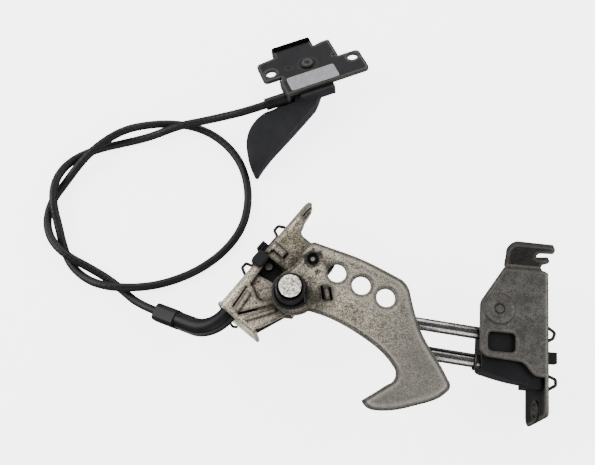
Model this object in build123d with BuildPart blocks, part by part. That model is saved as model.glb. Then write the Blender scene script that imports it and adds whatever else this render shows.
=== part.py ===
from build123d import *
import math
import os

os.makedirs("parts", exist_ok=True)

# Driving dimensions, millimetres
PIVOT_X = -33.7
PIVOT_Y = -54.3
SHEET = 2.5
FRONT_TOP = 36.0
FRONT_UNDER = FRONT_TOP - SHEET
CATCH_ANGLE = 50.6
FLANGE_OUT = 27.0
CATCH_END = -30.0
STRIKER_ANGLE = -5.3
STRIKER_SIDE = 143.6
HOOK_GAP = 2.0
HOOK_UNDER = FRONT_TOP + HOOK_GAP
HOOK_THICK = 3.5
HOOK_TOP = HOOK_UNDER + HOOK_THICK
LIGHTENING_HOLE = 10.4
PIN_D = 8.0
RUNNING_FIT = 0.1
HUB_D = 12.0
HOOK_EYE = HUB_D
HUB_TOP_D = HUB_D - 0.4
HUB_CLEAR = HUB_D + 0.8
HEAD_D = 12.0
HEAD_REACH = 14.0
HEAD_THICK = 3.5
HEAD_UNDER = HOOK_TOP + HEAD_REACH
HEAD_TOP = HEAD_UNDER + HEAD_THICK
HUB_TOP = HEAD_UNDER - 0.3
ARM_GAP = 2.5
ARM_THICK = 4.0
ARM_TOP = FRONT_UNDER - ARM_GAP
ARM_UNDER = ARM_TOP - ARM_THICK
BACK_SHEET = 2.0
BACK_TOP = ARM_UNDER - 2
BACK_UNDER = BACK_TOP - BACK_SHEET
WIRE_D = 1.6
WIRE_Z = ARM_UNDER + 1.5
WIRE_N = FLANGE_OUT - 7
SWING = 27.0
HALF_TRAVEL = WIRE_N * math.tan(math.radians(SWING / 2))
ARM_R = WIRE_N / math.cos(math.radians(SWING / 2))
BARREL_D = 4.8
SPRING_WIRE = 2.1
SPRING_R = (HUB_TOP_D + SPRING_WIRE) / 2 + 0.3
GUIDE_D = 9.2
GUIDE_NOSE_D = 6.4
ROD_D = 7.0
ROD_Z = FRONT_UNDER - 5.8
LEG_GAP = 16.0
LEG_RUN = STRIKER_SIDE - 67.1
ROD_ANGLE = -9.2
CARRIER_UNDER = FRONT_UNDER - 2
TAB_HOLE_LEFT = 7.5
TAB_HOLE_RIGHT = 8.5
HANDLE_TILT = 22.0
HANDLE_TURN = 20.2
HANDLE_SHEET = 2.0
HANDLE_HOLE = 6.6
HANDLE_WIRE_B = -18.6
HANDLE_WIRE_W = -5.0
RIVET_D = 6.0
CLIP_WIRE = 1.8
CORD_D = 5.0

# Working planes, all measured from the hook pivot
Z = Vector(0, 0, 1)
pivot = Vector(PIVOT_X, PIVOT_Y, 0)
floor_plane = Plane(origin=pivot, x_dir=(1, 0, 0), z_dir=(0, 0, 1))
s_dir = Vector(1, 0, 0).rotate(Axis.Z, CATCH_ANGLE)
n_dir = Vector(0, 1, 0).rotate(Axis.Z, CATCH_ANGLE)
catch = Plane(origin=pivot, x_dir=s_dir, z_dir=Z)
u_dir = Vector(1, 0, 0).rotate(Axis.Z, STRIKER_ANGLE)
v_dir = Vector(0, 1, 0).rotate(Axis.Z, STRIKER_ANGLE)
striker = Plane(origin=pivot + u_dir * STRIKER_SIDE, x_dir=u_dir, z_dir=Z)
boss_at = pivot + Vector(10.3, 154.4, 15.5)
a_dir = Vector(1, 0, 0).rotate(Axis.Z, HANDLE_TURN)
normal = Z.rotate(Axis(origin=(0, 0, 0), direction=a_dir), -HANDLE_TILT)
handle = Plane(origin=boss_at, x_dir=a_dir, z_dir=normal)
b_dir = handle.y_dir

# Section planes of the left bracket
catch_flange = Plane(origin=pivot + n_dir * FLANGE_OUT, x_dir=s_dir, z_dir=n_dir * -1)
wire_line = Plane(origin=pivot + n_dir * WIRE_N + Z * WIRE_Z, x_dir=n_dir, z_dir=s_dir)

# Left bracket
tongue_n = FLANGE_OUT - 0.8
with BuildPart() as catch_bracket:
    with BuildSketch(catch.offset(FRONT_UNDER)):
        with BuildLine():
            Line((CATCH_END, FLANGE_OUT), (CATCH_END, 2.3))
            Line((CATCH_END, 2.3), (-27.7, 2.3))
            Spline((-27.7, 2.3), (-16.5, -3.2), (-6.5, -6.9), (2, -9.3))
            Line((2, -9.3), (27, -9.3))
            ThreePointArc((27, -9.3), (29.1, -8.4), (30, -6.3))
            Line((30, -6.3), (30, FLANGE_OUT - 12))
            ThreePointArc((30, FLANGE_OUT - 12), (31.2, FLANGE_OUT - 9.5), (33.6, FLANGE_OUT - 8.4))
            ThreePointArc((33.6, FLANGE_OUT - 8.4), (37.4, FLANGE_OUT - 6.6), (39.5, FLANGE_OUT - 4))
            Line((39.5, FLANGE_OUT - 4), (39.5, FLANGE_OUT))
            Line((39.5, FLANGE_OUT), (CATCH_END, FLANGE_OUT))
        make_face()
    extrude(amount=SHEET)
    with BuildSketch(catch_flange):
        with BuildLine():
            Polyline((CATCH_END, 0), (31, 0), (38, 3), (49.6, 14), (49.6, FRONT_TOP), (CATCH_END, FRONT_TOP), close=True)
        make_face()
    extrude(amount=SHEET)
    tab_corner = [e for e in catch_bracket.edges().filter_by(Axis(origin=(0, 0, 0), direction=n_dir))
                  if catch.to_local_coords(e.center()).X > 47 and e.center().Z > 30]
    fillet(tab_corner, 4.5)
    bend = [e for e in catch_bracket.edges() if e.length > 40
            and abs(catch.to_local_coords(e.center()).Y - FLANGE_OUT) < 0.01
            and abs(e.center().Z - FRONT_TOP) < 0.01]
    fillet(bend, 2.2)
    with BuildSketch(catch_flange.offset(SHEET)):
        with Locations((43.2, 25)):
            Circle(5.9)
    extrude(amount=0.8)
    with BuildSketch(catch_flange):
        with Locations((43.2, 25)):
            Circle(TAB_HOLE_LEFT / 2)
    extrude(amount=SHEET + 1, both=True, mode=Mode.SUBTRACT)
    with BuildSketch(catch):
        with Locations((CATCH_END + 1, 1 + FLANGE_OUT / 2)):
            Rectangle(2, FLANGE_OUT)
    extrude(amount=FRONT_TOP)
    end_corner = [e for e in catch_bracket.edges().filter_by(Axis(origin=(0, 0, 0), direction=s_dir))
                  if catch.to_local_coords(e.center()).Y > FLANGE_OUT + 0.9 and e.center().Z > FRONT_UNDER]
    fillet(end_corner, 2.4)
    with BuildSketch(wire_line.offset(CATCH_END - 1)):
        Circle(GUIDE_NOSE_D / 2 + RUNNING_FIT)
    extrude(amount=5, mode=Mode.SUBTRACT)
    with BuildSketch(catch.offset(FRONT_UNDER - 1)):
        with BuildLine():
            Spline((-10.4, FLANGE_OUT - 6.2), (-12.3, 15.5), (-13.9, 10.9), (-12.9, 8.4), (-9.9, 7.3), (-8.8, 3), (-8.7, -2.4))
            Line((-8.7, -2.4), (0, -3))
            Line((0, -3), (8.6, 2))
            Line((8.6, 2), (8.6, FLANGE_OUT - 4.4))
            Line((8.6, FLANGE_OUT - 4.4), (-10.4, FLANGE_OUT - 6.2))
        make_face()
    extrude(amount=SHEET + 2, mode=Mode.SUBTRACT)
    with BuildSketch(catch.offset(FRONT_UNDER - 1)):
        Circle(HUB_CLEAR / 2)
        with Locations(Location((-19.2, FLANGE_OUT - 6.4), 6)):
            SlotOverall(14.4, 1)
        with Locations(Location((-19.2, 9.1), -37.3)):
            SlotOverall(20.6, 1.5)
    extrude(amount=SHEET + 2, mode=Mode.SUBTRACT)
    with BuildSketch(catch.offset(FRONT_TOP)):
        with Locations(Location((-20.4, FLANGE_OUT - 9.7), 6)):
            SlotOverall(13, 2.8)
        with Locations(Location((-19.6, 4.9), -33.3)):
            SlotOverall(18, 2.2)
    extrude(amount=0.9, taper=25)
    with BuildSketch(catch.offset(FRONT_UNDER)):
        with BuildLine():
            Polyline((9, tongue_n), (10.2, tongue_n - 2), (12.4, tongue_n - 2), (13.4, tongue_n - 3.2),
                     (13, tongue_n - 9.6), (16.6, tongue_n - 9.8), (17, tongue_n), close=True)
        make_face()
    extrude(amount=SHEET + 1.3)
    with BuildSketch(catch.offset(FRONT_UNDER)):
        with Locations((14.8, tongue_n - 10.6)):
            Rectangle(4.4, 0.9)
    extrude(amount=4, mode=Mode.SUBTRACT)
    with BuildSketch(catch.offset(29)):
        with Locations((4.75, FLANGE_OUT - 2)):
            Rectangle(5.5, 8)
    extrude(amount=8, mode=Mode.SUBTRACT)
catch_bracket.part.label = "catch_bracket"
export_step(catch_bracket.part, "parts/catch_bracket.step")

# Inner plate that carries the foot of the pivot pin
with BuildPart() as backing_plate:
    with BuildSketch(catch.offset(BACK_UNDER)):
        with BuildLine():
            Polyline((-18, FLANGE_OUT - SHEET), (-18, 6), (-9, -8.5), (28, -8.5), (28, FLANGE_OUT - SHEET), close=True)
        make_face()
        Circle(PIN_D / 2 + RUNNING_FIT, mode=Mode.SUBTRACT)
    extrude(amount=BACK_SHEET)
    with BuildSketch(catch.offset(BACK_TOP)):
        with Locations((26.9, 6)):
            Rectangle(2.2, 24)
    extrude(amount=FRONT_UNDER - BACK_TOP)
    with BuildSketch(catch.offset(BACK_TOP)):
        with Locations((-5.8, -7.8)):
            Rectangle(5, 1.4)
    extrude(amount=CARRIER_UNDER - BACK_TOP)
    with BuildSketch(catch.offset(BACK_UNDER - 1)):
        with Locations((19, 4)):
            SlotOverall(11, 5)
    extrude(amount=4, mode=Mode.SUBTRACT)
backing_plate.part.label = "backing_plate"
export_step(backing_plate.part, "parts/backing_plate.step")

# Pivot pin with its domed head
with BuildPart() as pivot_pin:
    with BuildSketch(floor_plane.offset(BACK_UNDER - 2)):
        Circle(5.5)
    extrude(amount=2)
    with BuildSketch(floor_plane.offset(BACK_UNDER)):
        Circle(PIN_D / 2)
    extrude(amount=HEAD_UNDER - BACK_UNDER)
    with BuildSketch(floor_plane.offset(BACK_TOP)):
        Circle(6)
    extrude(amount=ARM_UNDER - BACK_TOP - 0.1)
    with BuildSketch(floor_plane.offset(HEAD_UNDER)):
        Circle(HEAD_D / 2)
    extrude(amount=HEAD_THICK)
    fillet(pivot_pin.edges().group_by(Axis.Z)[-1], 2.4)
    fillet(pivot_pin.edges().group_by(Axis.Z)[0], 0.8)
pivot_pin.part.label = "pivot_pin"
export_step(pivot_pin.part, "parts/pivot_pin.step")

# Bent arm under the hook that holds the rod bow
with BuildPart() as bow_carrier:
    with BuildSketch(floor_plane.offset(CARRIER_UNDER)):
        with BuildLine():
            Spline((2, 10.2), (15, 6.2), (30, -2), (46, -9.8))
            Line((46, -9.8), (64.5, -9.6))
            Line((64.5, -9.6), (64.5, -36))
            Line((64.5, -36), (60, -36))
            Spline((60, -36), (50, -30), (38, -21.5), (14, -10.6))
            ThreePointArc((14, -10.6), (-9.6, -3.5), (2, 10.2))
        make_face()
        Circle(HUB_CLEAR / 2, mode=Mode.SUBTRACT)
    extrude(amount=FRONT_UNDER - CARRIER_UNDER)
    with BuildSketch(floor_plane.offset(BACK_UNDER)):
        with Locations((63.3, -22.8)):
            Rectangle(2.4, 26.4)
    extrude(amount=FRONT_UNDER - BACK_UNDER)
    with BuildSketch(Plane(origin=pivot + Vector(60, -21.75, ROD_Z), x_dir=(0, 1, 0), z_dir=(1, 0, 0))):
        with Locations((-8.4, 0), (7.6, 0)):
            SlotOverall(8.4, 7.7)
    extrude(amount=8, mode=Mode.SUBTRACT)
bow_carrier.part.label = "bow_carrier"
export_step(bow_carrier.part, "parts/bow_carrier.step")

# Hook plate
with BuildPart() as hook:
    with BuildSketch(floor_plane.offset(HOOK_UNDER)):
        with BuildLine():
            Spline((14.1, 27.9), (24.6, 24), (37.9, 19), (50.4, 12.8), (61.3, 6.7))
            ThreePointArc((61.3, 6.7), (64.2, 3.5), (65.8, -0.8))
            Spline((65.8, -0.8), (68.6, -14.9), (71.5, -23.9), (78.8, -37.5), (83.8, -47.8))
            ThreePointArc((83.8, -47.8), (84.8, -51.2), (83, -54))
            Spline((83, -54), (76.9, -57.9), (67.3, -60.7), (57.7, -62.9), (44.4, -63.3))
            ThreePointArc((44.4, -63.3), (39.6, -61.2), (37.8, -58.2))
            Spline((37.8, -58.2), (46.1, -53.4), (51.9, -49.9))
            ThreePointArc((51.9, -49.9), (56.3, -45.6), (55.1, -40.1))
            Spline((55.1, -40.1), (49.6, -33), (39.8, -25), (21.1, -14.2), (9.8, -10.4))
            ThreePointArc((9.8, -10.4), (-8.6, -6.6), (-8.7, 6.3))
            Spline((-8.7, 6.3), (-4.4, 10.1), (0.6, 13.6), (3.7, 16.4), (5.7, 21.3))
            ThreePointArc((5.7, 21.3), (8.9, 26.3), (14.1, 27.9))
        make_face()
        Circle(HOOK_EYE / 2 + RUNNING_FIT, mode=Mode.SUBTRACT)
        with Locations((25.8, 10.6), (39.2, 3.6), (52.5, -3.3)):
            Circle(LIGHTENING_HOLE / 2, mode=Mode.SUBTRACT)
        with Locations((12.5, 18.4)):
            Circle(1.35, mode=Mode.SUBTRACT)
    extrude(amount=HOOK_THICK)
    with BuildSketch(floor_plane.offset(HOOK_TOP)):
        with Locations((12.5, 18.4)):
            Circle(3.5)
    extrude(amount=-2.4, mode=Mode.SUBTRACT)
    rims = [e for e in hook.edges().filter_by(GeomType.CIRCLE)
            if abs(e.radius - LIGHTENING_HOLE / 2) < 0.01 and e.center().Z > HOOK_TOP - 0.1]
    fillet(rims, 0.7)
    with BuildSketch(floor_plane.offset(HOOK_TOP)):
        with Locations(Location((19.9, -0.9), -82)):
            SlotOverall(8.6, 3)
    extrude(amount=1.3, taper=20)
    with BuildSketch(floor_plane.offset(HOOK_UNDER)):
        with Locations(Location((17.6, -0.6), -82), Location((22.2, -1.2), -82)):
            SlotOverall(7.8, 1.2)
    extrude(amount=HOOK_THICK, mode=Mode.SUBTRACT)
hook.part.label = "hook"
export_step(hook.part, "parts/hook.step")

# Hub sleeve through the hook
with BuildPart() as hook_hub:
    with BuildSketch(floor_plane.offset(ARM_TOP)):
        Circle(HUB_D / 2)
    extrude(amount=HOOK_TOP + 0.5 - ARM_TOP)
    with BuildSketch(floor_plane.offset(FRONT_TOP + 0.5)):
        Circle(7.5)
    extrude(amount=HOOK_UNDER - FRONT_TOP - 0.5)
    with BuildSketch(floor_plane.offset(HOOK_TOP + 0.5)):
        Circle(HUB_TOP_D / 2)
    extrude(amount=HUB_TOP - HOOK_TOP - 0.5)
    with BuildSketch(floor_plane.offset(ARM_TOP)):
        Circle(PIN_D / 2 + RUNNING_FIT / 2)
    extrude(amount=HUB_TOP - ARM_TOP, mode=Mode.SUBTRACT)
hook_hub.part.label = "hook_hub"
export_step(hook_hub.part, "parts/hook_hub.step")

# Release arm at the foot of the hub
with BuildPart() as release_arm:
    with BuildSketch(catch.offset(ARM_UNDER)):
        with BuildLine():
            ThreePointArc((-6.4, 3.6), (3, -6.3), (6.8, 1.6))
            Line((6.8, 1.6), (HALF_TRAVEL + 3.4, WIRE_N - 0.6))
            ThreePointArc((HALF_TRAVEL + 3.4, WIRE_N - 0.6), (HALF_TRAVEL + 1, WIRE_N + 3.3), (HALF_TRAVEL - 3.4, WIRE_N + 2))
            Line((HALF_TRAVEL - 3.4, WIRE_N + 2), (HALF_TRAVEL - 6.2, WIRE_N + 0.4))
            Line((HALF_TRAVEL - 6.2, WIRE_N + 0.4), (-6.4, 3.6))
        make_face()
        Circle(PIN_D / 2 + RUNNING_FIT / 2, mode=Mode.SUBTRACT)
    extrude(amount=ARM_THICK)
    with BuildSketch(catch.offset(ARM_UNDER)):
        with Locations((HALF_TRAVEL, WIRE_N)):
            Circle(BARREL_D / 2 + 0.12)
        with Locations((HALF_TRAVEL * (1 - 0.7 / ARM_R), WIRE_N * (1 - 0.7 / ARM_R))):
            Circle(BARREL_D / 2 + 0.12)
    extrude(amount=ARM_THICK, mode=Mode.SUBTRACT)
    with BuildSketch(catch.offset(ARM_UNDER)):
        with BuildLine():
            Polyline((HALF_TRAVEL + 0.3, WIRE_N - 1.2), (-5, WIRE_N - 1.2), (-4, WIRE_N + 6.2),
                     (HALF_TRAVEL + 0.55, WIRE_N + 0.95), close=True)
        make_face()
    extrude(amount=WIRE_Z + WIRE_D / 2 + 0.2 - ARM_UNDER, mode=Mode.SUBTRACT)
release_arm.part.label = "release_arm"
export_step(release_arm.part, "parts/release_arm.step")

# Coil spring round the hub, with a tail on the hook lug
coil_z = HOOK_TOP + SPRING_WIRE / 2 + 0.1
coil_pitch = 2.2
coil_turns = 4.5
with BuildPart() as hook_spring:
    with BuildLine() as coil_line:
        Helix(pitch=coil_pitch, height=coil_pitch * coil_turns, radius=SPRING_R, center=(PIVOT_X, PIVOT_Y, coil_z))
    with BuildSketch(Plane(origin=coil_line.line @ 0, z_dir=coil_line.line % 0)):
        Circle(SPRING_WIRE / 2)
    sweep(is_frenet=True)
    tail_from = coil_line.line @ 0
    with BuildLine() as tail_line:
        Line(tail_from, tail_from + Vector(0.35, -6.6, 0))
    with BuildSketch(Plane(origin=tail_from, z_dir=(0.053, -0.9986, 0))):
        Circle(SPRING_WIRE / 2)
    sweep(path=tail_line.line)
hook_spring.part.label = "hook_spring"
export_step(hook_spring.part, "parts/hook_spring.step")

# Small stud riveted into the hook
with BuildPart() as hook_stud:
    with BuildSketch(floor_plane.offset(HOOK_UNDER - 1.2)):
        with Locations((12.5, 18.4)):
            Circle(2.6)
    extrude(amount=1.2)
    with BuildSketch(floor_plane.offset(HOOK_UNDER)):
        with Locations((12.5, 18.4)):
            Circle(1.3)
    extrude(amount=HOOK_THICK - 0.6)
hook_stud.part.label = "hook_stud"
export_step(hook_stud.part, "parts/hook_stud.step")

# Elbow that leads the cable into the left bracket
elbow_start = pivot + Vector(-77.2, -6.3, 12)
elbow_end = pivot + s_dir * CATCH_END + n_dir * (WIRE_N + 1.2) + Z * WIRE_Z
elbow_corner = elbow_end - s_dir * 13.8
elbow_in = (elbow_corner - elbow_start).normalized()
elbow_side = Z.cross(elbow_in)
with BuildPart() as cable_guide:
    with BuildLine() as elbow_line:
        FilletPolyline(elbow_start, elbow_corner, elbow_end, radius=16.5)
    with BuildSketch(Plane(origin=elbow_start, x_dir=elbow_side, z_dir=elbow_in)):
        Circle(GUIDE_D / 2)
        with Locations((-GUIDE_D / 2 + 0.4, 0)):
            Rectangle(2.4, 3)
    sweep(path=elbow_line.line)
    with BuildSketch(Plane(origin=elbow_start - elbow_side * 0.4, x_dir=elbow_side, z_dir=elbow_in)):
        RectangleRounded(10.4, 10.4, 3)
    extrude(amount=15)
    with BuildSketch(wire_line.offset(CATCH_END)):
        Circle(GUIDE_NOSE_D / 2)
    extrude(amount=6)
    with BuildSketch(wire_line.offset(CATCH_END + 2.2)):
        Circle(GUIDE_NOSE_D / 2 + 0.9)
    extrude(amount=1.5)
    with BuildSketch(wire_line.offset(CATCH_END - 10)):
        Circle(1.25)
    extrude(amount=17, mode=Mode.SUBTRACT)
cable_guide.part.label = "cable_guide"
export_step(cable_guide.part, "parts/cable_guide.step")

# Curled wire that locks the elbow on the end plate
clip_plane = catch.offset(WIRE_Z - 6.3)
with BuildPart() as guide_clip:
    with BuildLine(clip_plane) as clip_path:
        FilletPolyline((CATCH_END, WIRE_N - 1.6), (CATCH_END - 2.6, WIRE_N - 1.6), (CATCH_END - 3.6, 14.8),
                       (CATCH_END - 1.9, 12.6), radius=1.2)
    with BuildSketch(Plane(origin=clip_path.line @ 0, z_dir=clip_path.line % 0)):
        Circle(0.75)
    sweep(path=clip_path.line)
guide_clip.part.label = "guide_clip"
export_step(guide_clip.part, "parts/guide_clip.step")

# Cable core at the hook end
with BuildPart() as cable_core_lower:
    with BuildSketch(wire_line.offset(CATCH_END + 2)):
        Circle(WIRE_D / 2)
    extrude(amount=HALF_TRAVEL - CATCH_END - 2)
cable_core_lower.part.label = "cable_core_lower"
export_step(cable_core_lower.part, "parts/cable_core_lower.step")

# Barrel nipple in the release arm
with BuildPart() as cable_nipple_lower:
    with BuildSketch(catch.offset(WIRE_Z - 2.3)):
        with Locations((HALF_TRAVEL, WIRE_N)):
            Circle(BARREL_D / 2)
    extrude(amount=6.6)
    fillet(cable_nipple_lower.edges().group_by(Axis.Z)[-1], 0.5)
    with BuildSketch(wire_line.offset(HALF_TRAVEL - 4)):
        Circle(WIRE_D / 2 + 0.05)
    extrude(amount=4, mode=Mode.SUBTRACT)
cable_nipple_lower.part.label = "cable_nipple_lower"
export_step(cable_nipple_lower.part, "parts/cable_nipple_lower.step")

# Rubber buffer in the notch of the left flange
with BuildPart() as arm_buffer:
    with BuildSketch(catch.offset(FRONT_TOP)):
        with Locations((4.4, FLANGE_OUT - 1.2)):
            RectangleRounded(8.4, 7.2, 2.2)
    extrude(amount=2.2)
    fillet(arm_buffer.edges().group_by(Axis.Z)[-1], 1)
    with BuildSketch(catch.offset(30)):
        with Locations((4.4, FLANGE_OUT + 1.2)):
            RectangleRounded(8.4, 2.4, 1.1)
    extrude(amount=FRONT_TOP - 30)
    with BuildSketch(catch.offset(29)):
        with Locations((4.75, FLANGE_OUT - 0.7)):
            Rectangle(5.4, 3)
    extrude(amount=FRONT_TOP - 29)
    with BuildSketch(catch.offset(FRONT_UNDER - 0.2)):
        with Locations((4.75, FLANGE_OUT - 2.9)):
            Rectangle(5.4, 4)
    extrude(amount=SHEET + 0.2)
arm_buffer.part.label = "arm_buffer"
export_step(arm_buffer.part, "parts/arm_buffer.step")

# Right bracket
striker_flange = Plane(origin=pivot + u_dir * (STRIKER_SIDE - SHEET), x_dir=v_dir, z_dir=u_dir)
tab_slope = math.radians(47)
tab_up = v_dir * math.cos(tab_slope) + Z * math.sin(tab_slope)
tab_normal = v_dir * -math.sin(tab_slope) + Z * math.cos(tab_slope)
tab_plane = Plane(origin=striker.origin + v_dir * 26 + Z * FRONT_TOP, x_dir=u_dir, z_dir=tab_normal)
with BuildPart() as striker_bracket:
    with BuildSketch(striker.offset(FRONT_UNDER)):
        with BuildLine():
            Line((-25.1, 26.2), (-36.4, 8))
            ThreePointArc((-36.4, 8), (-37.6, 5.6), (-38, 2.9))
            Line((-38, 2.9), (-37.8, -19.2))
            ThreePointArc((-37.8, -19.2), (-36.4, -23.2), (-32.6, -24.9))
            Line((-32.6, -24.9), (-17.4, -25.9))
            Spline((-17.4, -25.9), (-13.6, -27.1), (-10.8, -30.2), (-6.5, -33.1))
            Line((-6.5, -33.1), (0, -33.4))
            Line((0, -33.4), (0, 24.6))
            Line((0, 24.6), (-4.1, 26.2))
            Line((-4.1, 26.2), (-25.1, 26.2))
        make_face()
        with Locations((-26.1, -16.2)):
            RectangleRounded(15.2, 10.6, 2.6, mode=Mode.SUBTRACT)
    extrude(amount=SHEET)
    with BuildSketch(striker_flange):
        with BuildLine():
            Line((24.6, 0), (24.6, FRONT_TOP))
            Line((24.6, FRONT_TOP), (-51.3, FRONT_TOP))
            ThreePointArc((-51.3, FRONT_TOP), (-53.4, FRONT_TOP - 0.9), (-54.4, FRONT_TOP - 3))
            Line((-54.4, FRONT_TOP - 3), (-58, 7))
            ThreePointArc((-58, 7), (-57.2, 2.6), (-53.2, 0))
            Line((-53.2, 0), (24.6, 0))
        make_face()
    extrude(amount=SHEET)
    side_bend = [e for e in striker_bracket.edges() if e.length > 50
                 and abs(striker.to_local_coords(e.center()).X) < 0.01
                 and abs(e.center().Z - FRONT_TOP) < 0.01]
    fillet(side_bend, 2.2)
    with BuildSketch(striker_flange):
        with Locations((-50, 19)):
            Circle(6)
    extrude(amount=-0.8)
    with BuildSketch(striker_flange.offset(-1)):
        with Locations((-50, 19)):
            Circle(TAB_HOLE_RIGHT / 2)
    extrude(amount=SHEET + 2, mode=Mode.SUBTRACT)
    with BuildSketch(tab_plane):
        with BuildLine():
            Line((-25.1, 0), (-25.6, 7.5))
            ThreePointArc((-25.6, 7.5), (-24.6, 13.6), (-21.2, 16.2))
            Line((-21.2, 16.2), (-1.4, 15.8))
            ThreePointArc((-1.4, 15.8), (-0.2, 13.6), (-1, 11.2))
            Line((-1, 11.2), (-7.6, 10.8))
            ThreePointArc((-7.6, 10.8), (-9.4, 8.7), (-7, 7))
            Line((-7, 7), (-2.5, 7.6))
            ThreePointArc((-2.5, 7.6), (-1.5, 6.3), (-2, 4.9))
            Line((-2, 4.9), (-4.6, 3.6))
            ThreePointArc((-4.6, 3.6), (-5.2, 1.8), (-4.1, 0))
            Line((-4.1, 0), (-25.1, 0))
        make_face()
    extrude(amount=-SHEET)
    with BuildSketch(striker.offset(FRONT_TOP)):
        with Locations((-27.6, 2.1)):
            Circle(8.7)
    extrude(amount=0.5, taper=40)
    with BuildSketch(striker.offset(FRONT_TOP)):
        with Locations((-27.6, 2.1)):
            Circle(2.9)
    extrude(amount=0.6, mode=Mode.SUBTRACT)
    with BuildSketch(striker.offset(FRONT_TOP)):
        with Locations((-27.6, 2.1)):
            Circle(2.3)
    extrude(amount=0.4)
striker_bracket.part.label = "striker_bracket"
export_step(striker_bracket.part, "parts/striker_bracket.step")

# Rod bent to a bow with two legs
rod_dir = Vector(1, 0, 0).rotate(Axis.Z, ROD_ANGLE)
rod_side = Vector(0, 1, 0).rotate(Axis.Z, ROD_ANGLE)
bow_centre = pivot + Vector(61.5, -22, ROD_Z)
leg_a = bow_centre + rod_side * (LEG_GAP / 2)
leg_b = bow_centre - rod_side * (LEG_GAP / 2)
with BuildPart() as striker_bow:
    with BuildLine() as bow_line:
        Line(leg_a + rod_dir * LEG_RUN, leg_a)
        ThreePointArc(leg_a, bow_centre - rod_dir * (LEG_GAP / 2), leg_b)
        Line(leg_b, leg_b + rod_dir * LEG_RUN)
    with BuildSketch(Plane(origin=leg_a + rod_dir * LEG_RUN, z_dir=rod_dir * -1)):
        Circle(ROD_D / 2)
    sweep(path=bow_line.line)
striker_bow.part.label = "striker_bow"
export_step(striker_bow.part, "parts/striker_bow.step")

# Black guide block that holds the legs of the bow
with BuildPart() as bow_guide:
    with BuildSketch(striker.offset(17)):
        with BuildLine():
            Line((-36.4, -8.4), (-4.6, -6.5))
            Line((-4.6, -6.5), (-3.2, -37.6))
            ThreePointArc((-3.2, -37.6), (-3.7, -38.9), (-5, -39.4))
            Line((-5, -39.4), (-11.6, -39.4))
            Line((-11.6, -39.4), (-11.6, -37))
            Spline((-11.6, -37), (-18, -36.3), (-26, -34.9), (-34.2, -33))
            ThreePointArc((-34.2, -33), (-35.8, -32.1), (-36.4, -30.4))
            Line((-36.4, -30.4), (-36.4, -8.4))
        make_face()
    extrude(amount=FRONT_UNDER - 17)
    with BuildSketch(Plane(origin=bow_centre + rod_dir * (LEG_RUN + 0.2), x_dir=rod_side, z_dir=rod_dir * -1)):
        with Locations((LEG_GAP / 2, 0), (-LEG_GAP / 2, 0)):
            Circle(ROD_D / 2 + RUNNING_FIT)
    extrude(amount=60, mode=Mode.SUBTRACT)
bow_guide.part.label = "bow_guide"
export_step(bow_guide.part, "parts/bow_guide.step")

# Thin tie wire along the lower leg
tie_side = leg_b + rod_side * 3.2 + Z * 3
with BuildPart() as bow_tie_wire:
    with BuildLine() as tie_line:
        Line(tie_side + rod_dir * 14.4, tie_side + rod_dir * (LEG_RUN - 34.5))
    with BuildSketch(Plane(origin=tie_line.line @ 0, z_dir=tie_line.line % 0)):
        Circle(0.6)
    sweep(path=tie_line.line)
    for along in (14.4, LEG_RUN - 34.5):
        with BuildLine(Plane(origin=leg_b + rod_dir * along, x_dir=rod_side, z_dir=rod_dir)) as ring_line:
            CenterArc((0, 0), ROD_D / 2 + 0.9, 43, 300)
        with BuildSketch(Plane(origin=ring_line.line @ 0, z_dir=ring_line.line % 0)):
            Circle(0.6)
        sweep(path=ring_line.line)
bow_tie_wire.part.label = "bow_tie_wire"
export_step(bow_tie_wire.part, "parts/bow_tie_wire.step")

# Wire clip on the outside of the left flange
clip_n = FLANGE_OUT + CLIP_WIRE / 2 + 0.3
with BuildPart() as panel_clip_left:
    with BuildLine(catch.offset(28)) as left_path:
        FilletPolyline((29.4, clip_n), (27.4, clip_n + 3.8), (23.9, clip_n + 3.8), (22.2, clip_n), (-0.4, clip_n),
                       (-1.4, clip_n + 3.8), (-4.9, clip_n + 3.8), (-6.8, clip_n), radius=1.2)
    with BuildSketch(Plane(origin=left_path.line @ 0, z_dir=left_path.line % 0)):
        Circle(CLIP_WIRE / 2)
    sweep(path=left_path.line)
panel_clip_left.part.label = "panel_clip_left"
export_step(panel_clip_left.part, "parts/panel_clip_left.step")

# Ribbed block that holds the left wire clip
with BuildPart() as clip_block_left:
    with BuildSketch(catch.offset(25)):
        with Locations((11.8, FLANGE_OUT + 2.8)):
            Rectangle(5.8, 5.6)
    extrude(amount=6)
    with BuildSketch(catch.offset(31)):
        with Locations((11.8, FLANGE_OUT + 1), (11.8, FLANGE_OUT + 2.8), (11.8, FLANGE_OUT + 4.6)):
            Rectangle(5.8, 0.9)
    extrude(amount=0.6)
    with BuildSketch(Plane(origin=pivot + n_dir * clip_n + Z * 28 + s_dir * 6, x_dir=n_dir, z_dir=s_dir)):
        Circle(CLIP_WIRE / 2 + 0.05)
    extrude(amount=12, mode=Mode.SUBTRACT)
clip_block_left.part.label = "clip_block_left"
export_step(clip_block_left.part, "parts/clip_block_left.step")

# Wire clip on the outside of the right flange
clip_u = CLIP_WIRE / 2 + 0.3
with BuildPart() as panel_clip_right:
    with BuildLine(striker.offset(27)) as right_path:
        FilletPolyline((clip_u, -3.8), (clip_u + 4.6, -7), (clip_u + 3.6, -10.2), (clip_u, -12.4), (clip_u, -31),
                       (clip_u + 4.8, -32.8), (clip_u + 4.8, -36), (clip_u, -39), radius=1.2)
    with BuildSketch(Plane(origin=right_path.line @ 0, z_dir=right_path.line % 0)):
        Circle(CLIP_WIRE / 2)
    sweep(path=right_path.line)
panel_clip_right.part.label = "panel_clip_right"
export_step(panel_clip_right.part, "parts/panel_clip_right.step")

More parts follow.
